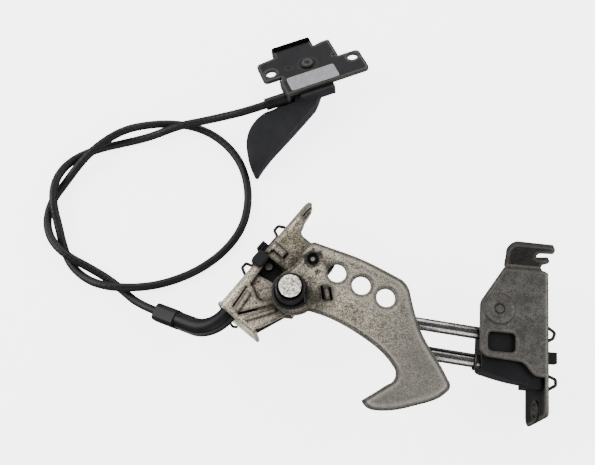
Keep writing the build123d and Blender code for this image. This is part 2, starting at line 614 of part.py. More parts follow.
# Block that holds the right wire clip
with BuildPart() as clip_block_right:
    with BuildSketch(striker.offset(24)):
        with Locations((3, -21.4)):
            Rectangle(6, 6.2)
    extrude(amount=6)
    with BuildSketch(Plane(origin=striker.origin + u_dir * clip_u + v_dir * -28 + Z * 27, x_dir=u_dir * -1, z_dir=v_dir)):
        Circle(CLIP_WIRE / 2 + 0.05)
    extrude(amount=12, mode=Mode.SUBTRACT)
clip_block_right.part.label = "clip_block_right"
export_step(clip_block_right.part, "parts/clip_block_right.step")

# Handle plate
ferrule_line = Plane(origin=boss_at + b_dir * HANDLE_WIRE_B + normal * HANDLE_WIRE_W, x_dir=b_dir, z_dir=a_dir)
with BuildPart() as handle_bracket:
    with BuildSketch(handle.offset(-HANDLE_SHEET)):
        with BuildLine():
            Line((-19.4, -4.6), (-27.7, -4.6))
            ThreePointArc((-27.7, -4.6), (-29.8, -3.7), (-30.7, -1.6))
            Line((-30.7, -1.6), (-30.7, 11.5))
            ThreePointArc((-30.7, 11.5), (-29.8, 13.6), (-27.7, 14.5))
            Line((-27.7, 14.5), (-17, 16))
            Line((-17, 16), (-17, 25))
            Line((-17, 25), (9.5, 25))
            Line((9.5, 25), (9.5, 15.5))
            Spline((9.5, 15.5), (13, 16.4), (16.7, 17.1), (20.8, 16.6))
            Line((20.8, 16.6), (20.8, -1.5))
            Line((20.8, -1.5), (31.3, -1.5))
            ThreePointArc((31.3, -1.5), (33.4, -2.4), (34.3, -4.5))
            Line((34.3, -4.5), (34.3, -19))
            ThreePointArc((34.3, -19), (33.4, -21.1), (31.3, -22))
            Line((31.3, -22), (-21.4, -22))
            Line((-21.4, -22), (-21.4, -7))
            Line((-21.4, -7), (-19.4, -7))
            Line((-19.4, -7), (-19.4, -4.6))
        make_face()
        with Locations((-24.2, 2.1), (28.5, -6.5)):
            Circle(HANDLE_HOLE / 2, mode=Mode.SUBTRACT)
        Circle(RIVET_D / 2 + RUNNING_FIT / 2, mode=Mode.SUBTRACT)
        with Locations((18.4, 1)):
            Circle(0.7, mode=Mode.SUBTRACT)
    extrude(amount=HANDLE_SHEET)
    with BuildSketch(handle):
        with Locations((-3.75, 24)):
            Rectangle(26.5, 2)
        with Locations((-20.4, -14.5)):
            Rectangle(2, 15)
    extrude(amount=-6.4)
    with BuildSketch(handle.offset(-6.4)):
        with Locations((-20.4, -17)):
            Rectangle(2, 10)
    extrude(amount=-2.6)
    tab_edge = [e for e in handle_bracket.edges() if e.length > 20
                and handle.to_local_coords(e.center()).Y > 24.9
                and abs(handle.to_local_coords(e.center()).Z) < 0.01]
    fillet(tab_edge, 1.9)
    with BuildSketch(ferrule_line.offset(-23)):
        Circle(2.6)
    extrude(amount=5, mode=Mode.SUBTRACT)
    with BuildSketch(handle):
        Circle(5.2)
        with Locations((-12.2, 1.4)):
            Circle(1.2)
    extrude(amount=-0.4, mode=Mode.SUBTRACT)
handle_bracket.part.label = "handle_bracket"
export_step(handle_bracket.part, "parts/handle_bracket.step")

# Rivet the lever turns on
with BuildPart() as lever_rivet:
    with BuildSketch(handle.offset(-0.4)):
        Circle(4)
    extrude(amount=2)
    rivet_rim = [e for e in lever_rivet.edges() if handle.to_local_coords(e.center()).Z > 1.5]
    fillet(rivet_rim, 0.9)
    with BuildSketch(handle.offset(-0.4)):
        Circle(RIVET_D / 2)
    extrude(amount=-8.1)
    with BuildSketch(handle.offset(-8.5)):
        Circle(4.6)
    extrude(amount=-1.6)
lever_rivet.part.label = "lever_rivet"
export_step(lever_rivet.part, "parts/lever_rivet.step")

# Moulded pull lever, its top falling away to the right of a ridge
ridge_foot = pivot + Vector(-19.2, 90, 13)
ridge_dir = (pivot + Vector(15.7, 126.2, 18.4) - ridge_foot).normalized()
ridge_right = ridge_dir.cross(Z).normalized()
ridge_up = ridge_right.cross(ridge_dir)
bevel_normal = ridge_right * math.sin(math.radians(38)) + ridge_up * math.cos(math.radians(38))
bevel = Plane(origin=ridge_foot, x_dir=ridge_dir, z_dir=bevel_normal)
with BuildPart() as pull_lever:
    with BuildSketch(floor_plane):
        with BuildLine():
            Spline((-7.2, 125.6), (-13.2, 121.5), (-20.9, 115.9), (-27, 106), (-27.7, 95), (-25.6, 87.4), (-22.9, 81.4))
            ThreePointArc((-22.9, 81.4), (-21.4, 80.8), (-20.2, 82))
            Spline((-20.2, 82), (-12.7, 92.9), (-2.3, 104.8), (7, 115.5), (15.6, 125.6))
            Spline((15.6, 125.6), (18.4, 132), (21.1, 141.8))
            Line((21.1, 141.8), (8, 147))
            Line((8, 147), (-7.2, 125.6))
        make_face()
    extrude(amount=30)
    with BuildSketch(Plane(origin=pivot + Vector(-60, 0, 0), x_dir=(0, 1, 0), z_dir=(1, 0, 0))):
        with BuildLine():
            Spline((70, 9.6), (82, 12), (108, 15.4), (134, 20))
            Line((134, 20), (150, 20))
            Line((150, 20), (150, 6.6))
            Spline((150, 6.6), (134, 5.2), (108, 2.6), (82, 0.8), (70, 0.4))
            Line((70, 0.4), (70, 9.6))
        make_face()
    extrude(amount=120, mode=Mode.INTERSECT)
    with BuildSketch(handle.offset(-2.4)):
        Rectangle(120, 160)
    extrude(amount=30, mode=Mode.SUBTRACT)
    with BuildSketch(bevel):
        Rectangle(200, 200)
    extrude(amount=30, mode=Mode.SUBTRACT)
    with BuildSketch(handle.offset(-2.4)):
        Circle(11)
        with BuildLine():
            Polyline((-10.6, -3), (-13, -25), (9.5, -25), (10.6, -3), close=True)
        make_face()
    extrude(amount=-6)
    with BuildSketch(ferrule_line.offset(-50)):
        Circle(4.5)
    extrude(amount=33.4, mode=Mode.SUBTRACT)
    with BuildSketch(handle.offset(-1)):
        with Locations((-22, -14.5)):
            Rectangle(6.2, 17)
    extrude(amount=-9, mode=Mode.SUBTRACT)
    with BuildSketch(handle.offset(-2.4)):
        Circle(RIVET_D / 2 + RUNNING_FIT / 2)
    extrude(amount=-6, mode=Mode.SUBTRACT)
    with BuildSketch(handle.offset(-2.4)):
        with Locations((-HALF_TRAVEL, HANDLE_WIRE_B)):
            Circle(2.62)
        with Locations((-HALF_TRAVEL * 0.966, HANDLE_WIRE_B * 0.966)):
            Circle(2.62)
    extrude(amount=-5.3, mode=Mode.SUBTRACT)
    with BuildSketch(handle.offset(-2.4)):
        with BuildLine():
            Polyline((-HALF_TRAVEL + 0.3, HANDLE_WIRE_B - 1.2), (-24, HANDLE_WIRE_B - 1.2), (-21, HANDLE_WIRE_B + 10.4),
                     (-HALF_TRAVEL + 0.6, HANDLE_WIRE_B + 1.1), close=True)
        make_face()
    extrude(amount=-4, mode=Mode.SUBTRACT)
pull_lever.part.label = "pull_lever"
export_step(pull_lever.part, "parts/pull_lever.step")

# Ferrule at the handle end of the cable
with BuildPart() as upper_ferrule:
    with BuildSketch(ferrule_line.offset(-35)):
        Circle(3.8)
    extrude(amount=13.6)
    with BuildSketch(ferrule_line.offset(-21.4)):
        Circle(2.5)
    extrude(amount=3.9)
    with BuildSketch(ferrule_line.offset(-33)):
        Circle(1)
    extrude(amount=16, mode=Mode.SUBTRACT)
upper_ferrule.part.label = "upper_ferrule"
export_step(upper_ferrule.part, "parts/upper_ferrule.step")

# Cable core at the handle end
with BuildPart() as cable_core_upper:
    with BuildSketch(ferrule_line.offset(-32.5)):
        Circle(WIRE_D / 2)
    extrude(amount=32.5 - HALF_TRAVEL)
cable_core_upper.part.label = "cable_core_upper"
export_step(cable_core_upper.part, "parts/cable_core_upper.step")

# Barrel nipple in the lever
with BuildPart() as cable_nipple_upper:
    with BuildSketch(handle.offset(-7.5)):
        with Locations((-HALF_TRAVEL, HANDLE_WIRE_B)):
            Circle(2.5)
    extrude(amount=5)
    with BuildSketch(ferrule_line.offset(-HALF_TRAVEL - 4)):
        Circle(WIRE_D / 2 + 0.05)
    extrude(amount=4, mode=Mode.SUBTRACT)
cable_nipple_upper.part.label = "cable_nipple_upper"
export_step(cable_nipple_upper.part, "parts/cable_nipple_upper.step")

# Bare label plate
with BuildPart() as label_plate:
    with BuildSketch(handle):
        with Locations((-1.1, -13.75)):
            RectangleRounded(32, 12.5, 1.6)
    extrude(amount=0.3)
label_plate.part.label = "label_plate"
export_step(label_plate.part, "parts/label_plate.step")

# Cable sheath along its route, from the handle to the elbow
sheath_start = boss_at + b_dir * HANDLE_WIRE_B + normal * HANDLE_WIRE_W - a_dir * 35
route = [
    (-41, 118.6, 13.6), (-55, 117, 10), (-72, 113.6, 9.6), (-90, 109, 3),
    (-106, 105, 2.6), (-121.2, 101.5, 2.6), (-134.6, 95.6, 3.7), (-143.3, 86.5, 6.7),
    (-147.5, 74.7, 9.1), (-146.7, 61.5, 9.5), (-143.5, 49, 5.1), (-140.5, 37.2, 2.6),
    (-135.3, 25.4, 2.6), (-126.2, 16.6, 4.3), (-114.1, 10.5, 9.2), (-99.6, 8.6, 9.8),
    (-84, 10.8, 3.8), (-68, 15.6, 2.6), (-53, 23, 2.6), (-39.6, 34, 2.6),
    (-30, 48, 2.6), (-26.6, 64, 2.6), (-28, 80, 2.6), (-34, 95, 2.6),
    (-46, 108, 2.6), (-61, 116, 2.6), (-78, 118.6, 2.6), (-93, 117, 3.8),
    (-106, 111.2, 9.3), (-118.6, 102.8, 9.8), (-130.4, 91.5, 9.2), (-142.5, 77.5, 2.6),
    (-148.9, 67, 3.1), (-151, 56.5, 4.4), (-149.7, 46.4, 6.3), (-144.6, 36.8, 8.2),
    (-135.1, 28.4, 9.2), (-121.5, 21.7, 5.6), (-111, 15.8, 2.6), (-101.6, 8.6, 2.6),
]
points = [sheath_start, sheath_start - a_dir * 12.6]
points += [pivot + Vector(*p) for p in route]
points += [elbow_start - elbow_in * 16.5, elbow_start]
radii = []
for before, here, after in zip(points, points[1:], points[2:]):
    turn = (here - before).get_angle(after - here)
    shorter = min((here - before).length, (after - here).length)
    radii.append(0.45 * shorter / math.tan(math.radians(turn) / 2))
print("cord radii", [round(r, 1) for r in radii])
with BuildPart() as cable_sheath:
    with BuildLine() as sheath_line:
        FilletPolyline(*points, radius=radii)
    with BuildSketch(Plane(origin=points[0], z_dir=points[1] - points[0])):
        Circle(CORD_D / 2)
    sweep(path=sheath_line.line)
cable_sheath.part.label = "cable_sheath"
export_step(cable_sheath.part, "parts/cable_sheath.step")
cord_length = sum(e.length for e in sheath_line.edges())
print("cord length", round(cord_length, 1))
print("cord volume", round(cable_sheath.part.volume, 1), "of", round(cord_length * math.pi * CORD_D ** 2 / 4, 1))
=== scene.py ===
# %% [markdown]
# Hood safety catch with its release cable. The CAD model comes in as a fixed frame, so every
# piece made here can be placed with the same numbers.

# %% Load the frame
import math

import bmesh
import bpy
from mathutils import Matrix, Vector


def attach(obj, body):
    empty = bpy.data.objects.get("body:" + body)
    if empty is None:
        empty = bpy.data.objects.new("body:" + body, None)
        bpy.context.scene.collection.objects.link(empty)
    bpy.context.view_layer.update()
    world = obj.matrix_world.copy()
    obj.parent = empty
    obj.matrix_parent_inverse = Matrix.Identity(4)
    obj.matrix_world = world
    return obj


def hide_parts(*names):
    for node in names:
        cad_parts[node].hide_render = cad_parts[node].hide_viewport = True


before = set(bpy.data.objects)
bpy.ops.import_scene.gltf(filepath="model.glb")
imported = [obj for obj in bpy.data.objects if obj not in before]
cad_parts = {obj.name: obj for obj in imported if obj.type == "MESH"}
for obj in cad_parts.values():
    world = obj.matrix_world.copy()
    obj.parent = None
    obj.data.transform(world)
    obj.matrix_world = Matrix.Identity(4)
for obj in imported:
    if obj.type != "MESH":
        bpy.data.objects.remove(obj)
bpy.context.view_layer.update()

# %% [markdown]
# Lengths are in metres. The hook's pivot, at table height, is the place that the others are
# measured from. The left bracket, the right bracket and the handle plate each lie at an angle of
# their own, so each has a direction along it and one across it. The handle plate is tilted too,
# so it also has a direction straight up from its face.

# %% Places and directions
PIVOT = Vector((-0.0337, -0.0543, 0))
HANDLE_BOSS = PIVOT + Vector((0.0103, 0.1544, 0.0155))
FRONT_TOP = 0.036
HOOK_TOP = 0.0415
CATCH_ANGLE = 50.6
STRIKER_ANGLE = -5.3
HANDLE_TURN = 20.2
HANDLE_TILT = math.radians(22)
UP = Vector((0, 0, 1))


def turned(degrees):
    along = Vector((math.cos(math.radians(degrees)), math.sin(math.radians(degrees)), 0))
    return along, Vector((-along.y, along.x, 0))


catch_along, catch_across = turned(CATCH_ANGLE)
striker_across = turned(STRIKER_ANGLE)[1]
handle_along, handle_level = turned(HANDLE_TURN)
handle_across = handle_level * math.cos(HANDLE_TILT) - Vector((0, 0, math.sin(HANDLE_TILT)))
handle_normal = handle_along.cross(handle_across)
print("handle faces", tuple(round(value, 3) for value in handle_normal))


def on_catch(along, across, height):
    """A place on the left bracket, measured from the pivot in the bracket's own directions."""
    return PIVOT + catch_along * along + catch_across * across + Vector((0, 0, height))


# %% [markdown]
# Every shape ends as a mesh on an object in the scene, so two small functions do that.

# %% Meshes and objects
def new_mesh(name, shape):
    mesh = bpy.data.meshes.new(name)
    shape.to_mesh(mesh)
    shape.free()
    return mesh


def new_object(name, data):
    piece = bpy.data.objects.new(name, data)
    bpy.context.scene.collection.objects.link(piece)
    return piece


# %% [markdown]
# The photograph looks down on a table from a little in front. A steep camera with a mild
# telephoto lens gives the same view. Its tilt is 16.3 degrees from straight down, and the lens
# length comes from the width of the picture in units of its distance.

# %% Camera
CAMERA_TILT = math.radians(16.297)
CAMERA_HEIGHT = 0.430
CAMERA_BACK = 0.1257
LENS_MM = 43.56
SENSOR_MM = 36
photo_centre = PIVOT + Vector((0.00395, 0.0458, 0))
camera_data = bpy.data.cameras.new("photo_view")
camera_data.lens = LENS_MM
camera_data.sensor_width = SENSOR_MM
camera = new_object("photo_view", camera_data)
camera.location = photo_centre + Vector((0, -CAMERA_BACK, CAMERA_HEIGHT))
camera.rotation_euler = (CAMERA_TILT, 0, 0)
bpy.context.scene.camera = camera
print("camera at", tuple(round(value, 4) for value in camera.location))

# %% [markdown]
# Colours are picked as sRGB hex values, the way a paint chart gives them, and the shader wants
# linear light. One small function turns the first into the second, and one adds a shader node
# with its settings and links, so that each material reads like a recipe.

# %% Small helpers for materials
def linear(code):
    channels = [int(code[i:i + 2], 16) / 255 for i in (0, 2, 4)]
    return [c / 12.92 if c <= 0.04045 else ((c + 0.055) / 1.055) ** 2.4 for c in channels] + [1]


def add(tree, kind, values=None, links=None, **settings):
    node = tree.nodes.new(kind)
    stops = settings.pop("stops", None)
    for name, value in settings.items():
        setattr(node, name, value)
    for name, value in (values or {}).items():
        node.inputs[name].default_value = value
    for name, source in (links or {}).items():
        tree.links.new(source, node.inputs[name])
    if stops:
        ramp = node.color_ramp
        while len(ramp.elements) < len(stops):
            ramp.elements.new(0.5)
        for element, (place, colour) in zip(ramp.elements, stops):
            element.position = place
            element.color = colour if len(colour) == 4 else list(colour) + [1]
    return node


def new_finish(name):
    finish = bpy.data.materials.new(name)
    finish.use_nodes = True
    tree = finish.node_tree
    tree.nodes.clear()
    shader = add(tree, "ShaderNodeBsdfPrincipled")
    add(tree, "ShaderNodeOutputMaterial", links={"Surface": shader.outputs["BSDF"]})
    print("finish", name)
    return finish, tree, shader


# %% [markdown]
# A finish is built up like paint. A glaze multiplies the colour below it by a tone, and a coat
# lays a new colour over it where a mask says. The shape itself tells where wear, painted highlight
# and painted shade sit. A Bevel node rounds the normal near an edge, so the lean between it and the
# face's own normal marks the edges. Ambient Occlusion is dark in inner corners, so it marks those
# for painted shade. Patches of grease and of painted shade sit round a place with a ragged border.

# %% Glazes and coats
def glazed(tree, colour, *tones):
    for tone in tones:
        glaze = add(tree, "ShaderNodeMix", {0: 1}, {6: colour, 7: tone},
                    data_type="RGBA", blend_type="MULTIPLY")
        colour = glaze.outputs[2]
    return colour


def coated(tree, colour, mask, weight, code):
    thickness = add(tree, "ShaderNodeMath", {1: weight}, {0: mask}, operation="MULTIPLY")
    coat = add(tree, "ShaderNodeMix", {7: linear(code)},
               {0: thickness.outputs["Value"], 6: colour}, data_type="RGBA")
    return coat.outputs[2]


# %% Masks for edges, corners, grease and shade
BORDER_DEPTH = 0.013
BORDER_GRAIN = 0.004


def edge_mask(tree, soft, flat_at=0.995, sharp_at=0.86):
    """1 on a sharp edge, 0 on a flat face, from a Bevel node's normal."""
    face = add(tree, "ShaderNodeNewGeometry")
    lean = add(tree, "ShaderNodeVectorMath", None,
               {0: soft.outputs["Normal"], 1: face.outputs["Normal"]}, operation="DOT_PRODUCT")
    mask = add(tree, "ShaderNodeMapRange", {"From Min": flat_at, "From Max": sharp_at},
               {"Value": lean.outputs["Value"]})
    return mask.outputs["Result"]


def corner_mask(tree, reach, closed_at, open_at):
    """1 in a tight inner corner, 0 in the open."""
    shade = add(tree, "ShaderNodeAmbientOcclusion", {"Distance": reach}, samples=8)
    mask = add(tree, "ShaderNodeMapRange", {"From Min": open_at, "From Max": closed_at},
               {"Value": shade.outputs["AO"]})
    return mask.outputs["Result"]


def patch_mask(tree, spot, centre, inner, outer):
    """1 near a place, 0 beyond the outer radius, with a ragged border."""
    away = add(tree, "ShaderNodeVectorMath", {1: centre}, {0: spot}, operation="DISTANCE")
    ragged = add(tree, "ShaderNodeTexNoise",
                 {"Scale": 1 / BORDER_GRAIN, "Detail": 6, "Roughness": 0.7}, {"Vector": spot})
    push = add(tree, "ShaderNodeMath", {1: 2 * BORDER_DEPTH}, {0: ragged.outputs["Fac"]},
               operation="MULTIPLY")
    reach = add(tree, "ShaderNodeMath", {1: BORDER_DEPTH}, {0: push.outputs["Value"]},
                operation="SUBTRACT")
    total = add(tree, "ShaderNodeMath", None,
                {0: away.outputs["Value"], 1: reach.outputs["Value"]}, operation="ADD")
    mask = add(tree, "ShaderNodeMapRange", {"From Min": outer, "From Max": inner},
               {"Value": total.outputs["Value"]})
    return mask.outputs["Result"]


# %% [markdown]
# The brackets and the hook are zinc plated sheet. Plating that has been handled turns matt and
# mottled: grains of about 0.8 mm, as coarse as they need to be to show where a pixel is 0.6 mm
# wide, softer clouds of about 9 mm, and dark specks where dirt has settled. Three noises at those
# sizes drive the colour, and the finest one also drives the roughness and a faint bump.

# %% Mottled plating
CLOUD = 0.009
SPECK = 0.0022


def mottled(tree, spot, light, dark, grain, dirt):
    """The plating's tones, and the grain by itself for the roughness and the bump."""
    fine = add(tree, "ShaderNodeTexNoise", {"Scale": 1 / grain, "Detail": 6, "Roughness": 0.65},
               {"Vector": spot})
    cloud = add(tree, "ShaderNodeTexNoise", {"Scale": 1 / CLOUD, "Detail": 4, "Roughness": 0.6},
                {"Vector": spot})
    speck = add(tree, "ShaderNodeTexNoise", {"Scale": 1 / SPECK, "Detail": 8, "Roughness": 0.72},
                {"Vector": spot})
    grain_tone = add(tree, "ShaderNodeValToRGB", None, {"Fac": fine.outputs["Fac"]},
                     stops=[(0.42, linear(dark)), (0.58, linear(light))])
    cloud_tone = add(tree, "ShaderNodeValToRGB", None, {"Fac": cloud.outputs["Fac"]},
                     stops=[(0.32, (0.6, 0.58, 0.55)), (0.68, (1.1, 1.08, 1.04))])
    held = 1 - dirt
    speck_tone = add(tree, "ShaderNodeValToRGB", None, {"Fac": speck.outputs["Fac"]},
                     stops=[(0.37, (held, held, held)), (0.5, (1, 1, 1)), (0.62, (1.15, 1.15, 1.15))])
    tones = [ramp.outputs["Color"] for ramp in (grain_tone, cloud_tone, speck_tone)]
    return glazed(tree, *tones), fine.outputs["Fac"]


# %% [markdown]
# Some tones follow the shape of the sheet, as painted light and shade. Upright walls turn away
# from the light, so a glaze from the normal paints shade on them. A fold or a flange catches a
# line of light beside a dark one, so a stripe glazes a stretch along a direction with a ramp of
# tones, which paints that highlight and shade. Its ends are measured from the pivot.

# %% Painted wall shade and stripes
def with_painted_wall_shade(tree, colour, tone):
    normal = add(tree, "ShaderNodeTexCoord").outputs["Normal"]
    facing = add(tree, "ShaderNodeSeparateXYZ", None, {"Vector": normal})
    level = add(tree, "ShaderNodeMath", None, {0: facing.outputs["Z"]}, operation="ABSOLUTE")
    shade = add(tree, "ShaderNodeMapRange",
                {"From Min": 0.45, "From Max": 0.97, "To Min": tone, "To Max": 1},
                {"Value": level.outputs["Value"]})
    return glazed(tree, colour, shade.outputs["Result"])


def striped(tree, colour, spot, direction, low, high, stops):
    along = add(tree, "ShaderNodeVectorMath", {1: direction}, {0: spot}, operation="DOT_PRODUCT")
    start = PIVOT.dot(direction)
    place = add(tree, "ShaderNodeMapRange", {"From Min": start + low, "From Max": start + high},
                {"Value": along.outputs["Value"]})
    stripe = add(tree, "ShaderNodeValToRGB", None, {"Fac": place.outputs["Result"]},
                 stops=[(at, (tone, tone, tone)) for at, tone in stops])
    return glazed(tree, colour, stripe.outputs["Color"])


# %% [markdown]
# Along the edges of such sheet a pale coat stands for rubbed wear and a painted highlight, and a
# dark coat for painted shade; painted shade also sits in the inner corners. So the pale coat in a
# wide band along the edges goes on first, then the dark coat in a narrower band, then painted shade
# in the corners at two sizes, and patches of grease and of painted shade come last.

# %% Plated sheet steel
RUBBED_AND_HIGHLIGHT = "efe9dc"
EDGE_SHADE = "1d1b18"
CORNER_SHADE = "1d1a16"
GREASE_AND_SHADE = "1c1a17"
CORNER_SIZES = ((0.008, 0.4, 0.95), (0.0025, 0.5, 0.95))
EDGE_ROUNDING = 0.0009


def plated_sheet(name, light, dark, grain=0.0008, shine=0.42, dirt=0.5, metal=0.75, gloss=0.5,
                 wall_shade=1.0, rub_and_highlight=0.45, edge_shade=0.7, band=0.0024, corner=0.8, grease_and_shade=(), stripes=(),
                 plain_end=None):
    finish, tree, shader = new_finish(name)
    spot = add(tree, "ShaderNodeTexCoord").outputs["Object"]
    colour, fine = mottled(tree, spot, light, dark, grain, dirt)
    if plain_end:
        near, far, weight, code = plain_end
        away = add(tree, "ShaderNodeVectorMath", {1: PIVOT}, {0: spot}, operation="DISTANCE")
        part = add(tree, "ShaderNodeMapRange", {"From Min": near, "From Max": far},
                   {"Value": away.outputs["Value"]})
        colour = coated(tree, colour, part.outputs["Result"], weight, code)
    # Painted shade on upright walls.
    if wall_shade < 1:
        colour = with_painted_wall_shade(tree, colour, wall_shade)
    for stripe in stripes:
        colour = striped(tree, colour, spot, *stripe)
    # A pale coat in a wide band along the edges: rubbed wear with a painted highlight on the edge.
    if rub_and_highlight:
        soft = add(tree, "ShaderNodeBevel", {"Radius": band * 1.5}, samples=6)
        colour = coated(tree, colour, edge_mask(tree, soft, 0.997, 0.94), rub_and_highlight, RUBBED_AND_HIGHLIGHT)
    # A dark coat in a narrower band along the edges: painted shade on the edge.
    if edge_shade:
        soft = add(tree, "ShaderNodeBevel", {"Radius": band}, samples=6)
        colour = coated(tree, colour, edge_mask(tree, soft, 0.99, 0.965), edge_shade, EDGE_SHADE)
    # Painted shade in inner corners and under parts, from Ambient Occlusion at two sizes.
    if corner:
        for size in CORNER_SIZES:
            colour = coated(tree, colour, corner_mask(tree, *size), corner, CORNER_SHADE)
    # Patches of grease, and of painted shade, each round its place.
    for centre, near, far, weight in grease_and_shade:
        patch = patch_mask(tree, spot, centre, near, far)
        colour = coated(tree, colour, patch, weight, GREASE_AND_SHADE)
    tree.links.new(colour, shader.inputs["Base Color"])
    shader.inputs["Metallic"].default_value = metal
    shader.inputs["Specular IOR Level"].default_value = gloss
    rough = add(tree, "ShaderNodeMapRange", {"To Min": shine - 0.08, "To Max": shine + 0.16},
                {"Value": fine})
    tree.links.new(rough.outputs["Result"], shader.inputs["Roughness"])
    bump = add(tree, "ShaderNodeBump", {"Strength": 0.35, "Distance": 0.00012}, {"Height": fine})
    if edge_shade:
        soft = add(tree, "ShaderNodeBevel", {"Radius": EDGE_ROUNDING}, samples=6)
        tree.links.new(soft.outputs["Normal"], bump.inputs["Normal"])
    tree.links.new(bump.outputs["Normal"], shader.inputs["Normal"])
    return finish


# %% [markdown]
# The hook is pale plating with grease on the side by the pivot, round the stud and in a streak
# beside it. Away from the pivot it turns to a plain grey, under a coat that grows with the
# distance. Each grease patch has its place, its full and its outer radius, and its weight.

# %% Hook finish
hook_grease = (
    (PIVOT + Vector((0.011, -0.003, HOOK_TOP)), 0.003, 0.012, 0.75),
    (PIVOT + Vector((0.0125, 0.0184, HOOK_TOP)), 0.004, 0.008, 0.9),
    (PIVOT + Vector((0.0195, 0.0165, HOOK_TOP)), 0.001, 0.006, 0.7),
)
hook_plate_finish = plated_sheet(
    "zinc_plated_hook_plate", "fff6e2", "706450", dirt=0.65, metal=0.45, wall_shade=0.2, rub_and_highlight=0.6, edge_shade=0.95,
    band=0.0044, grease_and_shade=hook_grease, plain_end=(0.045, 0.085, 0.8, "72706d"))

# %% [markdown]
# The left bracket is the same plating, dirtier, with grease round the pivot and a patch of painted
# shade below the raised tongue. A painted highlight runs along the fold of its flange with painted
# shade beyond it, its lower end is bright, and painted shade lies on the tab at its upper end. The
# small plates inside it are cleaner or darker sheet, and the darkest also paints the shade under
# the slots.

# %% Left bracket finishes
# Grease round the pivot, and a patch of painted shade below the raised tongue.
catch_grease_and_shade = (
    (on_catch(0, 0, FRONT_TOP), 0.010, 0.017, 0.6),
    (on_catch(0.0085, 0.0147, FRONT_TOP), 0.001, 0.006, 0.75),
)
# A painted highlight with painted shade beyond it along the flange's fold, painted shade on the upper
# tab, and a lighter lower end.
catch_stripes = (
    (catch_across, 0.022, 0.028, ((0.24, 0.75), (0.3, 1.8), (0.46, 1.8), (0.54, 0.55), (0.9, 0.5))),
    (catch_along, 0.036, 0.038, ((0.4, 1), (0.6, 0.42))),
    (catch_along, -0.03, 0.01, ((0.2, 2.1), (0.9, 1))),
)
catch_sheet_finish = plated_sheet(
    "zinc_plated_catch_sheet", "f2e8d2", "655b45", grain=0.0009, dirt=0.7, metal=0.6, band=0.003,
    corner=1.0, grease_and_shade=catch_grease_and_shade, stripes=catch_stripes)
inner_plate_finish = plated_sheet(
    "zinc_plated_inner_plate", "e8dccb", "6d6252", grain=0.0009, dirt=0.5, metal=0.4, corner=0.5)
seat_finish = plated_sheet(
    "zinc_plated_seat_plate", "f4e8d8", "7c7060", grain=0.0009, dirt=0.5, metal=0.2, corner=0.8)
tongue_finish = plated_sheet(
    "zinc_plated_tongue", "a89f8c", "4c463a", grain=0.0009, dirt=0.6, metal=0.5, rub_and_highlight=0.8)
# The dark sheet also serves as painted shade under the bracket's slots.
inner_sheet_and_shade_finish = plated_sheet(
    "dark_inner_sheet_and_slot_shade", "4a4640", "25231f", shine=0.5, dirt=0.6, rub_and_highlight=0.1)

# %% [markdown]
# The right bracket is darker sheet. A painted highlight with painted shade beside it runs along its
# fold, and painted shade covers everything below its front plate. The handle plate is coated black,
# so it isn't a metal to the shader.

# %% Right bracket and handle plate finishes
# A painted highlight along the fold with painted shade beside it, and painted shade below the front
# plate.
striker_painted_light = (
    (striker_across, 0.026, 0.029, ((0.3, 1), (0.4, 1.6), (0.5, 1.6), (0.6, 0.36))),
    (UP, 0, FRONT_TOP, ((0.8, 0.4), (0.92, 1))),
)
striker_sheet_finish = plated_sheet(
    "zinc_plated_striker_sheet", "737270", "545351", dirt=0.4, wall_shade=0.35, rub_and_highlight=0.2,
    stripes=striker_painted_light)
handle_sheet_finish = plated_sheet(
    "black_coated_handle_sheet", "17171c", "0e0e12", grain=0.0006, shine=0.5, dirt=0.3, metal=0,
    gloss=0.17, rub_and_highlight=0.12)

# %% [markdown]
# The rivet's head is bright and speckled. An even stripe of 1.45 across it lifts all its tones.
# Rods are drawn steel and quite shiny. Spring wire is duller, the clips are coated black, and the
# nipples are cast zinc.

# %% Rivet, rod, wire and nipple finishes
rivet_stripes = ((catch_along, -1, 1, ((0, 1.45), (1, 1.45))),)
rivet_finish = plated_sheet(
    "bright_rivet_steel", "fffef8", "98907e", grain=0.0012, shine=0.3, dirt=0.95, metal=0, rub_and_highlight=0,
    edge_shade=0.3, stripes=rivet_stripes)
rod_finish = plated_sheet(
    "drawn_rod_steel", "dcdcdd", "98989a", grain=0.0006, shine=0.16, dirt=0.3, metal=1, rub_and_highlight=0, edge_shade=0,
    corner=0.6)
wire_finish = plated_sheet(
    "spring_wire_steel", "6e6c69", "444240", grain=0.0005, shine=0.35, dirt=0.3, metal=0.9, rub_and_highlight=0,
    edge_shade=0)
clip_finish = plated_sheet(
    "black_coated_spring_wire", "141415", "0c0c0d", grain=0.0005, shine=0.45, dirt=0.3, metal=0,
    rub_and_highlight=0, edge_shade=0)
nipple_finish = plated_sheet(
    "dull_cast_zinc", "98989a", "5c5c5e", grain=0.0006, shine=0.5, dirt=0.4, metal=0.7, rub_and_highlight=0.2,
    edge_shade=0.3)

# %% [markdown]
# The cable guide, guide block, release arm and lever are black nylon, moulded with a fine spark
# grain. Nylon is never quite black: it is a dark grey with a soft sheen. A bump from a noise of
# 0.35 mm breaks up that sheen, and slow clouds of handling marks change its roughness.

# %% Black mouldings
SPARK_GRAIN = 0.00035
SPARK_DEPTH = 0.00006
HANDLING_MARK = 0.012
MOULD_ROUNDING = 0.0007


